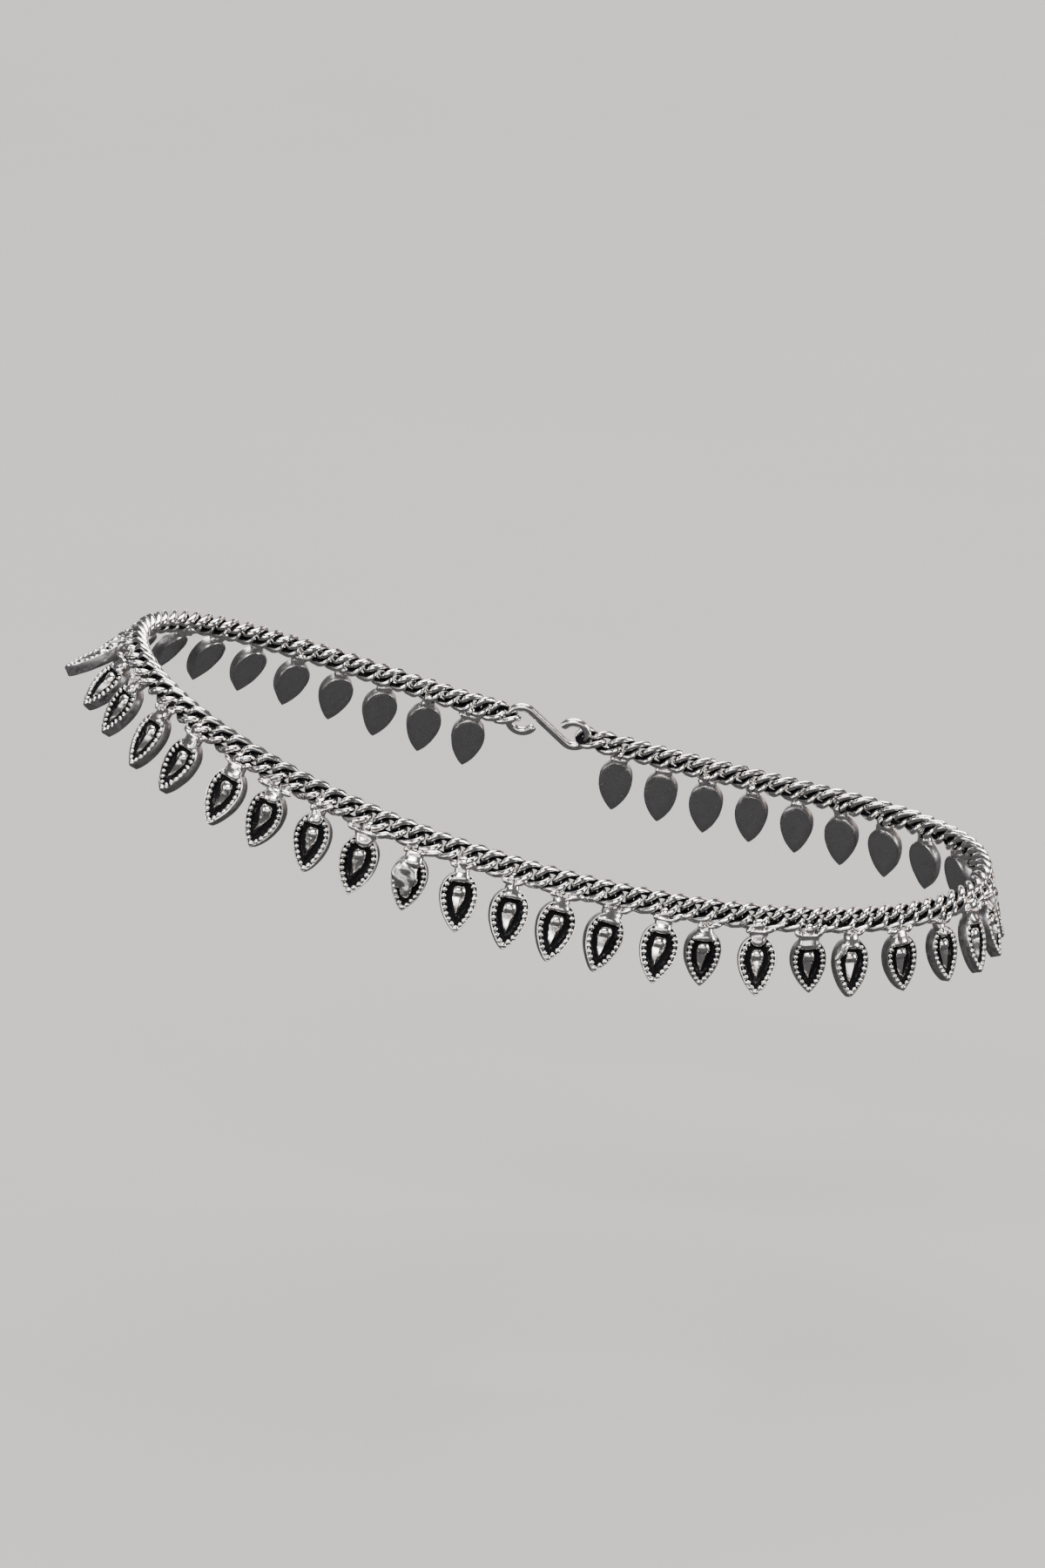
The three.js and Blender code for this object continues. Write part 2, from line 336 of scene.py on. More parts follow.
class HookSizes(bpy.types.PropertyGroup):
    """The plain double hook that closes the anklet"""

    length: FloatProperty(
        name="Length", description="Length over both eyes", default=11 * MM, unit="LENGTH"
    )
    height: FloatProperty(
        name="Height", description="Height of an eye", default=4.4 * MM, unit="LENGTH"
    )
    wire: FloatProperty(
        name="Wire", description="Diameter of the wire", default=1.1 * MM, unit="LENGTH"
    )
    end_angle: FloatProperty(
        name="End angle",
        description="Where the wire ends, above the level of the eyes",
        default=math.radians(30),
        subtype="ANGLE",
    )
    bend_steps: IntProperty(name="Bend steps", description="Sections round an eye", default=22)
    wire_sides: IntProperty(name="Wire sides", description="Corners of the wire", default=12)
    darkness: FloatProperty(name="Darkness", description="How tarnished the hook is", default=0.12)


class SilverTones(bpy.types.PropertyGroup):
    """The metal's colours"""

    bright: FloatVectorProperty(
        name="Bright", description="Polished silver", default=(0.90, 0.87, 0.84), subtype="COLOR"
    )
    tarnish: FloatVectorProperty(
        name="Tarnish",
        description="Silver that is never rubbed",
        default=(0.26, 0.255, 0.26),
        subtype="COLOR",
    )
    dulling: FloatProperty(
        name="Dulling", description="How much of its brightness worn silver keeps", default=0.66
    )
    # Black oxide, which also serves as the painted shade between the chain's links.
    oxide: FloatVectorProperty(
        name="Oxide", description="Black oxide", default=(0.004, 0.004, 0.005), subtype="COLOR"
    )


class StudioSizes(bpy.types.PropertyGroup):
    """The camera, the floor and the lights"""

    elevation: FloatProperty(
        name="Elevation",
        description="How far above the level the camera stands",
        default=math.radians(14.5),
        subtype="ANGLE",
    )
    distance: FloatProperty(
        name="Distance", description="From the camera to its aim", default=425 * MM, unit="LENGTH"
    )
    lens: FloatProperty(name="Lens", description="Focal length in millimetres", default=85)
    aim: FloatVectorProperty(
        name="Aim", description="The point in the frame's middle", default=(-4.7 * MM, 0, -0.8 * MM)
    )
    floor_depth: FloatProperty(
        name="Floor depth", description="From the origin down to the floor", default=66 * MM, unit="LENGTH"
    )
    room: FloatProperty(name="Room", description="Radius of the round room", default=2.4, unit="LENGTH")
    cove: FloatProperty(
        name="Cove", description="Radius of the bend from the floor to the wall", default=0.72, unit="LENGTH"
    )
    wall: FloatProperty(
        name="Wall", description="From the floor to the wall's top", default=1.44, unit="LENGTH"
    )
    room_sides: IntProperty(name="Room sides", description="Corners of the round room", default=96)
    floor_tone: FloatVectorProperty(
        name="Floor tone", description="Colour of the floor", default=(0.34, 0.336, 0.33), subtype="COLOR"
    )
    surround: FloatVectorProperty(
        name="Surround",
        description="Colour that the metal mirrors between the lights",
        default=(0.11, 0.11, 0.115),
        subtype="COLOR",
    )


class Signal:
    """A number's socket in a material, which Python's operators join to others by Math nodes."""

    def __init__(self, shop, socket):
        self.shop = shop
        self.socket = socket

    def join(self, operation, first, second):
        return self.shop.node("ShaderNodeMath", {"operation": operation}, {0: first, 1: second})

    def __add__(self, other):
        return self.join("ADD", self, other)

    def __radd__(self, other):
        return self.join("ADD", other, self)

    def __sub__(self, other):
        return self.join("SUBTRACT", self, other)

    def __rsub__(self, other):
        return self.join("SUBTRACT", other, self)

    def __mul__(self, other):
        return self.join("MULTIPLY", self, other)

    def __rmul__(self, other):
        return self.join("MULTIPLY", other, self)

    def above(self, low, high):
        """Goes smoothly from 0 at low to 1 at high."""
        return self.shop.node(
            "ShaderNodeMapRange",
            {"interpolation_type": "SMOOTHSTEP"},
            {"Value": self, "From Min": low, "From Max": high},
        )


class FinishShop:
    """A new material and the maker of its nodes."""

    def __init__(self, name):
        self.material = bpy.data.materials.new(name)
        self.material.use_nodes = True
        self.tree = self.material.node_tree
        self.tree.nodes.clear()

    def node(self, kind, settings=None, sockets=None, output=0):
        made = self.tree.nodes.new(kind)
        for key, value in (settings or {}).items():
            setattr(made, key, value)
        for key, value in (sockets or {}).items():
            if isinstance(value, Signal):
                self.tree.links.new(value.socket, made.inputs[key])
            else:
                made.inputs[key].default_value = value
        return Signal(self, made.outputs[output])

    def grain(self, scale, detail, roughness=0.55):
        """Cloudy noise that stays on the metal, with a scale in clouds per metre."""
        place = self.node("ShaderNodeTexCoord", output="Object")
        return self.node(
            "ShaderNodeTexNoise",
            {},
            {"Vector": place, "Scale": scale, "Detail": detail, "Roughness": roughness},
        )

    def blend(self, share, first, second):
        """A colour between two others."""
        return self.node(
            "ShaderNodeMix", {"data_type": "RGBA"}, {0: share, 6: first, 7: second}, output=2
        )

    def finish(self, **sockets):
        names = {key.replace("_", " "): value for key, value in sockets.items()}
        shader = self.node("ShaderNodeBsdfPrincipled", {}, names)
        end = self.tree.nodes.new("ShaderNodeOutputMaterial")
        self.tree.links.new(shader.socket, end.inputs["Surface"])
        return self.material


def silver(name, tones, polish, pitting):
    """Oxidised silver: bright where it is rubbed, black with oxide in its hollows, and black with painted
    shade between the chain's links.
    """
    shop = FinishShop(name)
    # The vertex mask read here holds oxide in the hollows and, on the chain's links, painted shade where the
    # links hide one another; it drives the tarnish and the black.
    hollow = shop.node("ShaderNodeAttribute", {"attribute_name": "patina_and_shade"}, output="Fac")
    cloud = shop.grain(CLOUDS, 3)
    pits = shop.grain(PITS, 4, 0.65)
    dark = (hollow + (cloud - 0.5) * 0.35 + (pits - 0.5) * 0.7).above(0.34, 0.60)
    tarnish = hollow.above(0.0, 0.44)
    dull = (*(tone * tones.dulling for tone in tones.bright), 1)
    clean = shop.blend(cloud.above(0.42, 0.72) * 0.5, (*tones.bright, 1), dull)
    metal = shop.blend(tarnish, clean, (*tones.tarnish, 1))
    colour = shop.blend(dark, metal, (*tones.oxide, 1))
    height = cloud * 0.5 + pits * 0.5
    normal = shop.node(
        "ShaderNodeBump", {}, {"Strength": pitting, "Distance": PIT_DEPTH, "Height": height}
    )
    return shop.finish(
        Base_Color=colour,
        Metallic=1 - dark,
        Roughness=polish + tarnish * 0.16 + dark * 0.24 + pits.above(0.45, 0.8) * 0.12,
        Specular_IOR_Level=0.06,
        Normal=normal,
    )


class Loop:
    """The chain's centre line, measured along its length from the toes by way of the near side."""

    POINTS = 3000

    def __init__(self, sizes):
        self.sizes = sizes
        self.points = [self.point(FULL_TURN * step / self.POINTS) for step in range(self.POINTS + 1)]
        self.reach = [0.0]
        for before, after in zip(self.points, self.points[1:]):
            self.reach.append(self.reach[-1] + (after - before).length)
        self.length = self.reach[-1]

    def point(self, turn):
        s = self.sizes
        bulge = math.sin(turn) + s.front_fullness * math.sin(2 * turn) + s.side_flatness * math.sin(3 * turn)
        across = -s.width / 2 * bulge
        rise = s.heel_drop / 2 * math.cos(turn) + s.side_sag / 2 * math.cos(2 * turn)
        return Vector((-s.length / 2 * math.cos(turn), across, rise + s.far_side_rise * across))

    def spot(self, distance):
        distance %= self.length
        low, high = 0, self.POINTS
        while high - low > 1:
            middle = (low + high) // 2
            if self.reach[middle] <= distance:
                low = middle
            else:
                high = middle
        share = (distance - self.reach[low]) / (self.reach[high] - self.reach[low])
        return self.points[low].lerp(self.points[high], share)

    def lean(self, point):
        forward = min(max((1 - point.x / (self.sizes.length / 2)) / 2, 0.0), 1.0)
        span = self.sizes.front_lean - self.sizes.side_lean
        return self.sizes.side_lean + span * forward**self.sizes.lean_sharpness

    def station(self, distance):
        """The matrix whose X runs along the chain, Y up the band and Z out of it."""
        point = self.spot(distance)
        along = (self.spot(distance + 0.2 * MM) - self.spot(distance - 0.2 * MM)).normalized()
        level = Vector((along.x, along.y, 0)).normalized()
        out = Vector((level.y, -level.x, 0))
        lean = self.lean(point)
        up = Vector((0, 0, math.cos(lean))) - out * math.sin(lean)
        face = along.cross(up).normalized()
        turned = Matrix((along, face.cross(along), face)).transposed().to_4x4()
        return Matrix.Translation(point) @ turned


def scene_loop():
    return Loop(bpy.context.scene.payal_loop)


def stretched_and_twisted(spot, sizes):
    """A point of a round ring moved to its place in the long, twisted link."""
    spare = sizes.half_length - sizes.half_height
    shift = 0.0 if abs(spot.x) < WELD else math.copysign(spare, spot.x)
    moved = Vector((spot.x + shift, spot.y, spot.z))
    turn = -sizes.twist * moved.x / sizes.half_length
    return Matrix.Rotation(turn, 3, "X") @ moved


def link_line(sizes, steps=64):
    """Points on the centre line of a link's wire."""
    angles = [FULL_TURN * step / steps for step in range(steps)]
    ring = [Vector((math.cos(a), math.sin(a), 0)) * sizes.half_height for a in angles]
    return [stretched_and_twisted(spot, sizes) for spot in ring]


def link_mesh(sizes, pitch):
    """One link at the origin, dark in its eye and where its neighbours touch it: partly oxide and partly
    painted shade, where the links hide one another.
    """
    bm = bmesh.new()
    patina_and_shade = bm.verts.layers.float.new("patina_and_shade")
    section = Matrix.Translation((sizes.half_height, 0, 0)) @ Matrix.Rotation(math.pi / 2, 4, "X")
    bmesh.ops.create_circle(
        bm, cap_ends=False, segments=sizes.wire_sides, radius=sizes.wire / 2, matrix=section
    )
    bmesh.ops.spin(
        bm,
        geom=bm.verts[:] + bm.edges[:],
        cent=(0, 0, 0),
        axis=(0, 0, 1),
        angle=FULL_TURN,
        steps=sizes.bend_steps,
        use_merge=True,
    )
    bmesh.ops.remove_doubles(bm, verts=bm.verts, dist=WELD)
    bmesh.ops.recalc_face_normals(bm, faces=bm.faces)
    neighbours = [
        spot + Vector((side * pitch, 0, 0)) for side in (-1, 1) for spot in link_line(sizes)
    ]
    for vertex in bm.verts:
        outward = Vector((vertex.co.x, vertex.co.y, 0)).normalized()
        facing = (vertex.co - outward * sizes.half_height).normalized().dot(outward)
        # Painted shade as well as oxide: the side of the wire that faces the link's eye is darkened.
        eye = smooth_step(0.0, 0.75, -facing)
        vertex.co = stretched_and_twisted(vertex.co, sizes)
        # Painted shade as well as oxide: the wire is darkened where a neighbouring link comes close.
        gap = min((vertex.co - spot).length for spot in neighbours) - sizes.wire / 2
        touch = 1 - smooth_step(0.05 * MM, 0.42 * MM, gap)
        vertex[patina_and_shade] = max(eye, touch)
    mesh = bpy.data.meshes.new("curb_link")
    bm.to_mesh(mesh)
    bm.free()
    return mesh


def solder(bm, sizes, rng):
    """A rough patch where a link's foot was closed."""
    patina_and_shade = bm.verts.layers.float["patina_and_shade"]
    line = link_line(sizes)
    for _ in range(4):
        spot = line[int(rng.uniform(0.80, 0.93) * len(line))]
        outward = Vector((0, -0.3, 1)).normalized() * sizes.wire * rng.uniform(0.30, 0.42)
        size = rng.uniform(0.18, 0.30) * MM
        patch = lump(bm, patina_and_shade, spot + outward, (size, size, size), Matrix(), rng.choice((0, 0.45)))
        roughened(patch, 0.06 * MM, 0.3 * MM, rng.uniform(0, 50))


def link_places(loop, sizes):
    """A matrix for each link, from one eye of the clasp round to the other."""
    rng = random.Random(11)
    start = loop.length * loop.sizes.clasp_place + sizes.end_room
    pitch = (loop.length - 2 * sizes.end_room) / (sizes.count - 1)
    end_rolls = (math.radians(62), math.radians(28), math.radians(8))
    places = []
    for count in range(sizes.count):
        from_end = min(count, sizes.count - 1 - count)
        roll = end_rolls[from_end] if from_end < len(end_rolls) else 0.0
        roll += math.radians(rng.uniform(-4, 4))
        nod = math.radians(rng.uniform(-2.5, 2.5))
        turned = Matrix.Rotation(roll, 4, "X") @ Matrix.Rotation(nod, 4, "Z")
        places.append(loop.station(start + count * pitch) @ turned)
    return places, pitch


def roughened(verts, amount, size, seed):
    """Moves vertices by smooth noise, as on hand-cast metal."""
    shift = Vector((seed * 7.31, seed * 3.17, seed * 5.73))
    for vertex in verts:
        vertex.co += noise.noise_vector(vertex.co / size + shift) * amount


def piece_from(bm, name, material, sharp_angle, slot, *nodes):
    """Makes a finished piece of a mesh, which rides on the anklet in place of its solids."""
    mesh = bpy.data.meshes.new(name)
    bm.to_mesh(mesh)
    bm.free()
    mesh.shade_smooth()
    mesh.set_sharp_from_angle(angle=sharp_angle)
    mesh.materials.append(material)
    piece = bpy.data.objects.new(name, mesh)
    bpy.context.scene.collection.objects.link(piece)
    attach(piece, "root")
    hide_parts(*nodes)
    return piece


class PAYAL_OT_chain(bpy.types.Operator):
    """Make the curb chain, link by link"""

    bl_idname = "payal.chain"
    bl_label = "Curb Chain"

    def execute(self, context):
        sizes = context.scene.payal_links
        places, pitch = link_places(scene_loop(), sizes)
        one_link = link_mesh(sizes, pitch)
        done_link = bpy.data.meshes.new("placed_link")
        whole = bmesh.new()
        rng = random.Random(5)
        for count, place in enumerate(places):
            bm = bmesh.new()
            bm.from_mesh(one_link)
            roughened(bm.verts, 0.02 * MM, 0.7 * MM, count)
            if rng.random() < sizes.soldered:
                solder(bm, sizes, rng)
            bmesh.ops.transform(bm, matrix=place, verts=bm.verts)
            bm.to_mesh(done_link)
            bm.free()
            whole.from_mesh(done_link)
        bpy.data.meshes.remove(one_link)
        bpy.data.meshes.remove(done_link)
        finish = silver("chain_silver", context.scene.payal_tones, polish=0.13, pitting=0.25)
        piece_from(whole, "curb_links", finish, math.radians(80), "chain_silver", "curb_chain")
        return {"FINISHED"}


def leaf_bulge(angle, sizes):
    return math.sin(angle) * max(math.cos(angle / 2), 0.0) ** sizes.pointedness


def leaf_spot(angle, inset, forward, sizes, tip_inset):
    """The leaf outline's point at an angle from its top, drawn in and set forward of its back."""
    widest = 2 * math.atan(1 / math.sqrt(1 + sizes.pointedness))
    reach = (sizes.width / 2 - inset) * leaf_bulge(abs(angle), sizes) / leaf_bulge(widest, sizes)
    length = sizes.length - inset * (1 + tip_inset)
    drop = sizes.hang + inset + length / 2 * (1 - math.cos(angle))
    return Vector((math.copysign(reach, angle), sizes.back - forward, -drop))


def stack(bm, sides, sections, place, patina_and_shade):
    """A closed solid of one round section for each row of a table, each moved to its place."""
    made = bmesh.ops.create_circle(bm, cap_ends=True, segments=sides, radius=1)
    verts = made["verts"]
    cap = verts[0].link_faces[0]
    for _ in sections[1:]:
        grown = bmesh.ops.extrude_face_region(bm, geom=[cap, *cap.edges])["geom"]
        cap = next(item for item in grown if isinstance(item, bmesh.types.BMFace))
        ring = [item for item in grown if isinstance(item, bmesh.types.BMVert)]
        bmesh.ops.translate(bm, vec=(0, 0, 1), verts=ring)
        verts = verts + ring
    for vertex in verts:
        section = sections[round(vertex.co.z)]
        vertex[patina_and_shade] = section[-1]
        vertex.co = place(vertex.co.x, vertex.co.y, section)
    faces = {face for vertex in verts for face in vertex.link_faces}
    bmesh.ops.recalc_face_normals(bm, faces=list(faces))
    return verts


def leaf_body(bm, patina_and_shade, sizes):
    """The cast box: plain side walls, a thin edge, the bead channel and the sunk floor."""

    def place(x, y, section):
        inset, forward, _ = section
        return leaf_spot(math.atan2(x, y), inset, forward, sizes, sizes.tip_inset)

    return stack(bm, sizes.sides, LEAF_SECTIONS, place, patina_and_shade)


def rim_line(sizes, steps=360):
    """Points up one half of the bead row, from the tip, and how far along it each one lies."""
    angles = [math.pi * (1 - step / steps) for step in range(steps)]
    line = [
        leaf_spot(angle, sizes.bead_inset, CHANNEL, sizes, sizes.bead_tip_inset) for angle in angles
    ]
    reach = [0.0]
    for before, after in zip(line, line[1:]):
        reach.append(reach[-1] + (after - before).length)
    return line, reach


def rim_bead(bm, patina_and_shade, centre, size, turn, shape):
    """One bead, bright at its top and dark at its foot."""
    turned = Matrix.Rotation(-turn, 4, "Y") @ Matrix.Diagonal((*shape, 1))
    place = Matrix.Translation(centre) @ turned
    bead = bmesh.ops.create_uvsphere(bm, u_segments=10, v_segments=7, radius=size, matrix=place)["verts"]
    for vertex in bead:
        vertex[patina_and_shade] = 1 - smooth_step(-0.30, 0.25, (centre.y - vertex.co.y) / size)
    return bead


def bead_row(bm, patina_and_shade, sizes, number, rng):
    """The bright beads of the rim, evenly spaced from the tip, a few of them run together."""
    line, reach = rim_line(sizes)
    pitch = 2 * reach[-1] / sizes.bead_count
    chance = (rng.choice((-1, 1)), 3, rng.choice((2, 2, 5, 7)))
    worn_side, first_worn, last_worn = WORN_BEADS.get(number, chance)
    usual = "ribbed" if number in RIBBED_RIMS else "round"
    made = []
    for count in range(sizes.bead_count // 2 + 1):
        index = next((i for i, length in enumerate(reach) if length >= count * pitch), len(line) - 1)
        spot = line[index]
        ahead = (line[min(index + 1, len(line) - 1)] - line[max(index - 1, 0)]).normalized()
        for side in (1, -1) if count else (1,):
            size = sizes.bead / 2 * rng.uniform(0.92, 1.06)
            worn = side == worn_side and first_worn <= count <= last_worn
            look = "tip" if count == 0 else "worn" if worn else usual
            turn = math.atan2(ahead.z, side * ahead.x) if count else 0.0
            centre = Vector((side * spot.x, spot.y - BEAD_PROUD, spot.z))
            centre += Vector((rng.uniform(-1, 1), rng.uniform(-1, 1), rng.uniform(-1, 1))) * 0.02 * MM
            made += rim_bead(bm, patina_and_shade, centre, size, turn, BEAD_SHAPES[look])
    return made


def boss(bm, patina_and_shade, sizes, rng):
    """The raised drop on the floor: a round head, a cross dent, and a tail with a sharp ridge."""
    sway = rng.uniform(-0.28, 0.02) * MM
    crest = rng.uniform(0.0, 0.35)

    def place(x, y, section):
        share, width, height, ridge, _ = section
        across = x + crest * (1 - abs(x)) * ridge
        lift = y * (1 - ridge) + (1 - abs(x)) * ridge
        depth = -BOSS_SUNK
        if y > -0.01:
            depth = (BOSS_FOOT + (1 - BOSS_FOOT) * lift) * height * sizes.boss_height
        return Vector((
            across * width * sizes.boss_width / 2 + sway * smooth_step(0.3, 1.0, share),
            sizes.back - FLOOR - depth,
            -(sizes.hang + sizes.boss_drop + share * sizes.boss_length),
        ))

    return stack(bm, 16, BOSS_SECTIONS, place, patina_and_shade)


def block(bm, patina_and_shade, wire_spot, taper, breadth, seed):
    """The cast block over the rim's top, which reaches up to the link's wire."""
    foot, top = BLOCK_SECTIONS[0][0], BLOCK_SECTIONS[-1][0]

    def place(x, y, section):
        height, width, front, back, _ = section
        share = (height - foot) / (top - foot)
        half = width / 2 * breadth * (1 + 0.6 * taper * (2 * share - 1))
        depth = (front - back) / 2
        middle = -(front + back) / 2
        square_x = math.copysign(abs(x) ** BLOCK_SQUARING, x)
        square_y = math.copysign(abs(y) ** BLOCK_SQUARING, y)
        lean = smooth_step(0, 1, share)
        return Vector((
            square_x * half + wire_spot.x * lean * BLOCK_LEAN,
            middle - square_y * depth + (wire_spot.y + 0.1 * MM) * lean * 0.5,
            height,
        ))

    made = stack(bm, 16, BLOCK_SECTIONS, place, patina_and_shade)
    roughened(made, 0.07 * MM, 0.8 * MM, seed)
    return made


def lump(bm, patina_and_shade, middle, radii, turn, dark=0.0, rings=9):
    """A rounded lump of cast metal."""
    shape = Matrix.Translation(middle) @ turn @ Matrix.Diagonal((*radii, 1))
    made = bmesh.ops.create_uvsphere(
        bm, u_segments=rings * 4 // 3, v_segments=rings, radius=1, matrix=shape
    )["verts"]
    for vertex in made:
        vertex[patina_and_shade] = dark
    return made


def metal_runs(bm, patina_and_shade, sizes, number):
    """Metal that has run over one drop's face or rim."""
    front = sizes.back - CHANNEL - 0.05 * MM
    for across, drop, tip, radii in METAL_RUNS.get(number, ()):
        middle = Vector((across, front, -sizes.hang - drop))
        tipped = Matrix.Rotation(tip, 4, "Y")
        made = lump(bm, patina_and_shade, middle, radii, tipped, 0.22, 18)
        roughened(made, radii[0] * 0.22, 1.1 * MM, number)
        roughened(made, radii[0] * 0.09, 0.35 * MM, number + 0.5)


def bail(bm, patina_and_shade, wire_spot, wire_way, wire, rng):
    """The soldered loop round the link's wire."""
    thick = rng.uniform(0.13, 0.17) * MM
    broad = rng.uniform(0.40, 0.62) * MM
    radius = wire / 2 + thick * 0.8
    section = Matrix.Translation((radius, 0, 0)) @ Matrix.Diagonal((thick, 1, broad, 1))
    section = section @ Matrix.Rotation(math.pi / 2, 4, "X")
    made = bmesh.ops.create_circle(bm, cap_ends=False, segments=8, radius=1, matrix=section)["verts"]
    edges = list({edge for vertex in made for edge in vertex.link_edges})
    before = set(bm.verts) - set(made)
    bmesh.ops.spin(
        bm, geom=made + edges, cent=(0, 0, 0), axis=(0, 0, 1), angle=FULL_TURN, steps=16, use_merge=True
    )
    ring = [vertex for vertex in bm.verts if vertex not in before]
    bmesh.ops.remove_doubles(bm, verts=ring, dist=WELD)
    ring = [vertex for vertex in bm.verts if vertex not in before]
    bmesh.ops.recalc_face_normals(bm, faces=list({f for v in ring for f in v.link_faces}))
    for vertex in ring:
        inner = radius - math.hypot(vertex.co.x, vertex.co.y)
        vertex[patina_and_shade] = smooth_step(0.0, thick, inner) * 0.9
    roughened(ring, 0.07 * MM, 0.6 * MM, rng.uniform(0, 50))
    turn = wire_way.to_track_quat("Z", "Y").to_matrix().to_4x4()
    bmesh.ops.transform(bm, matrix=Matrix.Translation(wire_spot) @ turn, verts=ring)
    return ring


def arm(bm, patina_and_shade, root, way, length, radius):
    """A stub of cast metal that runs from the block's shoulder along the chain."""
    turn = way.to_track_quat("Z", "Y").to_matrix().to_4x4()
    middle = root + way.normalized() * length * 0.4
    return lump(bm, patina_and_shade, middle, (radius, radius, length / 2 + radius / 2), turn)


def hanging_frame(node, sizes):
    """The matrix of a drop's own frame, read off the flat back of its solid."""
    bm = bmesh.new()
    bm.from_mesh(node.data)
    bmesh.ops.remove_doubles(bm, verts=bm.verts, dist=1e-6)
    bmesh.ops.dissolve_limit(bm, angle_limit=math.radians(1), verts=bm.verts, edges=bm.edges)
    centre = sum((vertex.co for vertex in bm.verts), Vector()) / len(bm.verts)
    flat = max(bm.faces, key=lambda face: face.calc_area())
    corners = [vertex.co.copy() for vertex in flat.verts]
    backward = flat.normal.copy()
    bm.free()
    pairs = [(first, second) for first in corners for second in corners]
    top, tip = max(pairs, key=lambda pair: (pair[0] - pair[1]).length)
    if (centre - tip).length < (centre - top).length:
        top, tip = tip, top
    up = (top - tip).normalized()
    pivot = top - backward * sizes.back + up * sizes.hang
    turned = Matrix((backward.cross(up), backward, up)).transposed().to_4x4()
    return Matrix.Translation(pivot) @ turned


def nearest_wire(places, links, pivot):
    """The foot of the link that a drop hangs from: its wire's centre and the way it runs."""
    line = link_line(links, 96)
    best = None
    for place in places:
        if (place.translation - pivot).length > LINK_RANGE:
            continue
        for index, spot in enumerate(line):
            if spot.y > -0.8 * links.half_height:
                continue
            world = place @ spot
            gap = (world - pivot).length
            if best is None or gap < best[0]:
                ahead = place @ line[(index + 1) % len(line)]
                best = (gap, world, (ahead - world).normalized())
    if best is None:
        raise RuntimeError("a drop hangs from no link")
    return best[1], best[2]


def casting_traits(number, rng):
    """A drop's row in the table of castings, or else a row by chance."""
    chance = (
        rng.uniform(0.97, 1.03),
        rng.uniform(-0.5, 0.8),
        rng.uniform(0.85, 1.20),
        rng.uniform(0.5, 1.1) * MM,
        rng.uniform(0.9, 1.6) * MM,
        rng.uniform(0.2, 0.9),
    )
    return SEEN_CASTINGS.get(number, chance)


def cast_drop(bm, patina_and_shade, sizes, links, wire_spot, wire_way, number):
    """One teardrop in its own frame, hanging from the origin with its face towards -Y."""
    rng = random.Random(number)
    scale, taper, breadth, left_reach, right_reach, rise = casting_traits(number, rng)
    leaf = leaf_body(bm, patina_and_shade, sizes)
    leaf += bead_row(bm, patina_and_shade, sizes, number, rng)
    leaf += boss(bm, patina_and_shade, sizes, rng)
    top = Matrix.Translation((0, 0, -sizes.hang))
    bmesh.ops.scale(bm, vec=(scale, 1, scale), space=top.inverted(), verts=leaf)
    roughened(leaf, sizes.unevenness, 1.4 * MM, number)
    roughened(leaf, sizes.unevenness * 0.5, 0.4 * MM, number + 0.5)
    metal_runs(bm, patina_and_shade, sizes, number)
    block(bm, patina_and_shade, wire_spot, taper, breadth, number + 0.25)
    bail(bm, patina_and_shade, wire_spot, wire_way, links.wire, rng)
    shoulder = BLOCK_SECTIONS[-2][1] / 2 * breadth * (1 + 0.5 * taper) - 0.3 * MM
    for side, reach, climb in ((-1, left_reach, rise * 0.6), (1, right_reach, rise)):
        root = Vector((side * shoulder + wire_spot.x * BLOCK_LEAN, ARM_DEPTH, ARM_HEIGHT))
        way = Vector((side, rng.uniform(-0.15, 0.20), climb))
        stub = arm(bm, patina_and_shade, root, way, reach, rng.uniform(0.30, 0.40) * MM)
        roughened(stub, 0.08 * MM, 0.5 * MM, number + side)


class PAYAL_OT_drops(bpy.types.Operator):
    """Make the cast teardrops, each on its own link"""

    bl_idname = "payal.drops"
    bl_label = "Teardrops"

    def execute(self, context):
        sizes = context.scene.payal_drops
        links = context.scene.payal_links
        places, _ = link_places(scene_loop(), links)
        finish = silver("drop_silver", context.scene.payal_tones, polish=0.15, pitting=0.4)
        nodes = sorted(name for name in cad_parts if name.startswith("leaf_drop_"))
        for name in nodes:
            number = name.rsplit("_", 1)[1]
            home = hanging_frame(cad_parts[name], sizes)
            spot, way = nearest_wire(places, links, home.translation)
            inward = home.inverted()
            bm = bmesh.new()
            patina_and_shade = bm.verts.layers.float.new("patina_and_shade")
            local_way = (inward.to_3x3() @ way).normalized()
            cast_drop(bm, patina_and_shade, sizes, links, inward @ spot, local_way, int(number))
            bmesh.ops.transform(bm, matrix=home, verts=bm.verts)
            piece_from(bm, "cast_drop_" + number, finish, math.radians(48), "drop_silver", name)
        return {"FINISHED"}


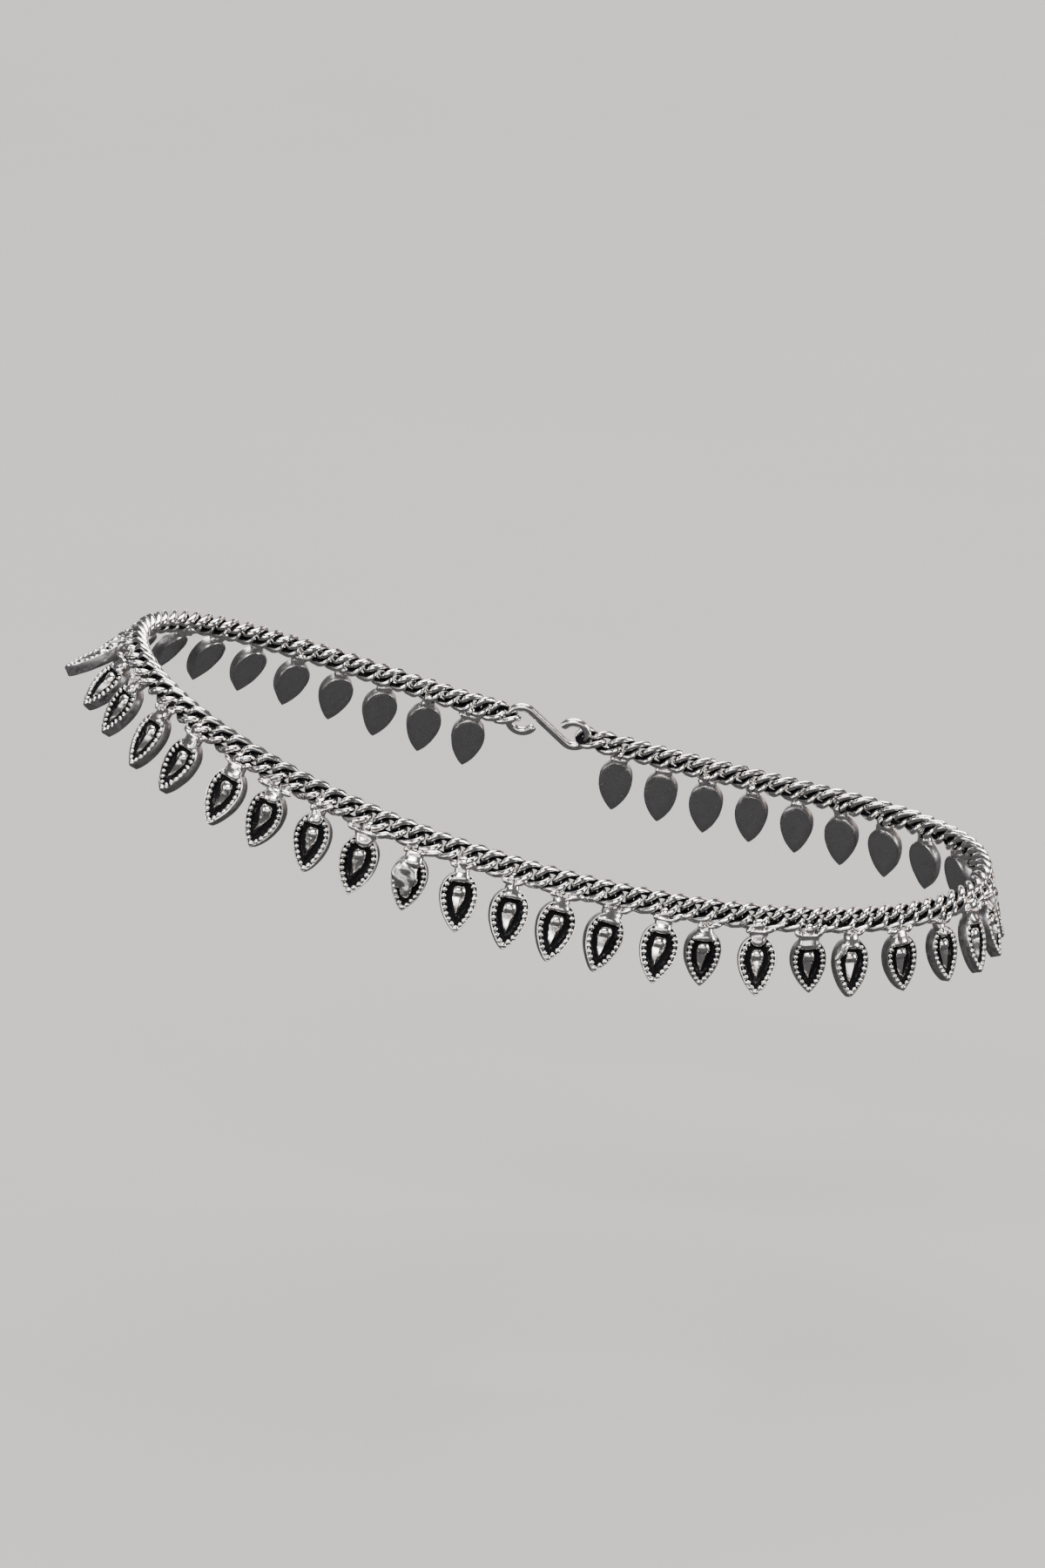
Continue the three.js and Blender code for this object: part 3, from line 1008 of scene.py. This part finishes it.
class PAYAL_OT_clasp(bpy.types.Operator):
    """Make the plain double hook behind the ankle"""

    bl_idname = "payal.clasp"
    bl_label = "Double Hook"

    def execute(self, context):
        sizes = context.scene.payal_hook
        eye = (sizes.height - sizes.wire) / 2
        reach = sizes.length / 2 - sizes.wire / 2 - eye
        waist = math.acos(eye / reach)
        bm = bmesh.new()
        patina_and_shade = bm.verts.layers.float.new("patina_and_shade")
        turn_back = Matrix.Rotation(-sizes.end_angle, 4, "Y")
        start = Matrix.Translation((-reach, 0, 0)) @ turn_back @ Matrix.Translation((eye, 0, 0))
        made = bmesh.ops.create_circle(
            bm, cap_ends=False, segments=sizes.wire_sides, radius=sizes.wire / 2, matrix=start
        )["verts"]
        first = list({edge for vertex in made for edge in vertex.link_edges})
        sweep = FULL_TURN - waist - sizes.end_angle
        last = self.bend(bm, made + first, (-reach, 0, 0), sweep, sizes.bend_steps)
        last = self.run(bm, last, waist, eye, reach)
        last = self.bend(bm, last, (reach, 0, 0), -sweep, sizes.bend_steps)
        self.dome(bm, first, sizes.wire)
        self.dome(bm, [item for item in last if isinstance(item, bmesh.types.BMEdge)], sizes.wire)
        bmesh.ops.remove_doubles(bm, verts=bm.verts, dist=WELD)
        bmesh.ops.recalc_face_normals(bm, faces=bm.faces)
        for vertex in bm.verts:
            vertex[patina_and_shade] = sizes.darkness
        loop = scene_loop()
        station = loop.station(loop.length * loop.sizes.clasp_place)
        upright = Matrix.Rotation(-math.pi / 2, 4, "X")
        bmesh.ops.transform(bm, matrix=station @ upright, verts=bm.verts)
        finish = silver("clasp_silver", context.scene.payal_tones, polish=0.16, pitting=0.2)
        piece_from(bm, "double_hook", finish, math.radians(70), "clasp_silver", "hook_clasp")
        return {"FINISHED"}

    @staticmethod
    def bend(bm, geom, centre, angle, steps):
        """Bends the wire on round an eye, about the axis that runs out of the band."""
        return bmesh.ops.spin(bm, geom=geom, cent=centre, axis=(0, -1, 0), angle=angle, steps=steps)[
            "geom_last"
        ]

    @staticmethod
    def run(bm, geom, waist, eye, reach):
        """Runs the wire straight on across the hook's middle."""
        edges = [item for item in geom if isinstance(item, bmesh.types.BMEdge)]
        grown = bmesh.ops.extrude_edge_only(bm, edges=edges)["geom"]
        verts = [item for item in grown if isinstance(item, bmesh.types.BMVert)]
        away = Vector((reach - eye * math.cos(waist), 0, eye * math.sin(waist))) * 2
        bmesh.ops.translate(bm, vec=away, verts=verts)
        return grown_ring(grown)

    @staticmethod
    def dome(bm, edges, wire):
        """Rounds off an open end of the wire."""
        cap = bmesh.ops.edgeloop_fill(bm, edges=edges)["faces"][0]
        cap.normal_update()
        walls = {face for vertex in cap.verts for face in vertex.link_faces if face != cap}
        body = sum((face.calc_center_median() for face in walls), Vector()) / len(walls)
        outward = cap.normal.copy()
        if outward.dot(cap.calc_center_median() - body) < 0:
            outward.negate()
        for scale, rise in ((0.86, 0.24), (0.45, 0.15)):
            grown = bmesh.ops.extrude_face_region(bm, geom=[cap, *cap.edges])["geom"]
            cap = next(item for item in grown if isinstance(item, bmesh.types.BMFace))
            verts = [item for item in grown if isinstance(item, bmesh.types.BMVert)]
            middle = sum((vertex.co for vertex in verts), Vector()) / len(verts)
            bmesh.ops.scale(
                bm, vec=(scale, scale, scale), space=Matrix.Translation(-middle), verts=verts
            )
            bmesh.ops.translate(bm, vec=outward * wire * rise, verts=verts)


def grown_ring(grown):
    """The outer ring of an extruded band: its vertices and the edges that join only them."""
    verts = {item for item in grown if isinstance(item, bmesh.types.BMVert)}
    edges = [
        item
        for item in grown
        if isinstance(item, bmesh.types.BMEdge) and all(vertex in verts for vertex in item.verts)
    ]
    return list(verts) + edges


SOFT_WHITE = (1.0, 0.985, 0.97)
WARM_WHITE = (1.0, 0.75, 0.66)

# Each light's name, place, size, power and colour, in metres and watts
SOFTBOXES = (
    ("top_light", (0.16, 1.28, 4.80), (4.80, 3.60), 600, SOFT_WHITE),
    ("front_light", (-0.60, -2.48, 2.00), (2.00, 0.56), 90, SOFT_WHITE),
    ("low_light", (-0.20, -3.20, 0.42), (4.40, 0.95), 31, SOFT_WHITE),
    ("left_light", (-2.48, -1.44, 0.66), (0.80, 1.45), 29, SOFT_WHITE),
    ("right_light", (2.72, -0.80, 0.66), (0.80, 1.40), 56, SOFT_WHITE),
    ("warm_light", (2.20, 1.80, 0.70), (1.20, 1.20), 11, WARM_WHITE),
    ("rear_light", (0.20, 3.20, 0.55), (4.40, 0.95), 26, SOFT_WHITE),
)


class PAYAL_OT_studio(bpy.types.Operator):
    """Set up the camera, the pale floor and the soft lights"""

    bl_idname = "payal.studio"
    bl_label = "Studio"

    def execute(self, context):
        sizes = context.scene.payal_studio
        self.camera(context.scene, sizes)
        self.floor(context.scene, sizes)
        self.world(context.scene, sizes)
        for name, place, size, power, tone in SOFTBOXES:
            self.softbox(name, place, size, power, tone)
        return {"FINISHED"}

    @staticmethod
    def camera(scene, sizes):
        data = bpy.data.cameras.new("camera")
        data.lens = sizes.lens
        data.clip_start = 10 * MM
        data.clip_end = 20
        camera = bpy.data.objects.new("camera", data)
        back = Vector((0, -math.cos(sizes.elevation), math.sin(sizes.elevation)))
        camera.location = Vector(sizes.aim) + back * sizes.distance
        camera.rotation_euler = (-back).to_track_quat("-Z", "Y").to_euler()
        scene.collection.objects.link(camera)
        scene.camera = camera

    @staticmethod
    def floor(scene, sizes):
        """A round floor that sweeps up into a wall on every side."""
        bm = bmesh.new()
        level = -sizes.floor_depth
        flat = sizes.room - sizes.cove
        steps = 12
        turns = [math.pi / 2 * step / steps for step in range(steps + 1)]
        rings = [
            (flat + sizes.cove * math.sin(turn), level + sizes.cove * (1 - math.cos(turn)))
            for turn in turns
        ]
        rings.append((sizes.room, level + sizes.wall))
        for radius, height in rings:
            place = Matrix.Translation((0, 0, height))
            bmesh.ops.create_circle(
                bm, cap_ends=False, segments=sizes.room_sides, radius=radius, matrix=place
            )
        bmesh.ops.bridge_loops(bm, edges=bm.edges[:])
        foot = [edge for edge in bm.edges if all(v.co.z < level + MM for v in edge.verts)]
        bmesh.ops.edgeloop_fill(bm, edges=foot)
        bmesh.ops.recalc_face_normals(bm, faces=bm.faces)
        mesh = bpy.data.meshes.new("floor")
        bm.to_mesh(mesh)
        bm.free()
        mesh.shade_smooth()
        shop = FinishShop("floor_paint")
        darker = tuple(part * 0.96 for part in sizes.floor_tone)
        clouds = shop.grain(scale=9, detail=2)
        colour = shop.blend(clouds, (*sizes.floor_tone, 1), (*darker, 1))
        mesh.materials.append(shop.finish(Base_Color=colour, Roughness=0.7))
        floor = bpy.data.objects.new("floor", mesh)
        scene.collection.objects.link(floor)
        # The metal would lose its dark side if it mirrored the pale room, and the lights shine in
        # from outside the wall
        floor.visible_glossy = False
        floor.visible_shadow = False

    @staticmethod
    def world(scene, sizes):
        scene.world = bpy.data.worlds.new("studio")
        scene.world.use_nodes = True
        background = scene.world.node_tree.nodes["Background"]
        background.inputs["Color"].default_value = (*sizes.surround, 1)
        background.inputs["Strength"].default_value = 1

    @staticmethod
    def softbox(name, place, size, power, tone):
        data = bpy.data.lights.new(name, "AREA")
        data.shape = "RECTANGLE"
        data.size, data.size_y = size
        data.energy = power
        data.color = tone
        lamp = bpy.data.objects.new(name, data)
        lamp.location = place
        lamp.rotation_euler = (-Vector(place)).to_track_quat("-Z", "Y").to_euler()
        lamp.visible_camera = False
        bpy.context.scene.collection.objects.link(lamp)


class PAYAL_PT_panel(bpy.types.Panel):
    """The sidebar panel that makes each piece"""

    bl_idname = "PAYAL_PT_panel"
    bl_label = "Payal"
    bl_space_type = "VIEW_3D"
    bl_region_type = "UI"
    bl_category = "Payal"

    def draw(self, context):
        for operator in OPERATORS:
            self.layout.operator(operator.bl_idname)


GROUPS = {
    "payal_loop": LoopSizes,
    "payal_links": LinkSizes,
    "payal_drops": DropSizes,
    "payal_hook": HookSizes,
    "payal_tones": SilverTones,
    "payal_studio": StudioSizes,
}
OPERATORS = (PAYAL_OT_chain, PAYAL_OT_drops, PAYAL_OT_clasp, PAYAL_OT_studio)


def register():
    noise.seed_set(CAST_SEED)
    for kind in (*GROUPS.values(), *OPERATORS, PAYAL_PT_panel):
        bpy.utils.register_class(kind)
    for name, kind in GROUPS.items():
        setattr(bpy.types.Scene, name, PointerProperty(type=kind))


def unregister():
    for name in GROUPS:
        delattr(bpy.types.Scene, name)
    for kind in (PAYAL_PT_panel, *OPERATORS, *GROUPS.values()):
        bpy.utils.unregister_class(kind)


def main():
    register()
    for operator in OPERATORS:
        getattr(bpy.ops.payal, operator.bl_idname.split(".")[1])()


if __name__ == "__main__":
    main()
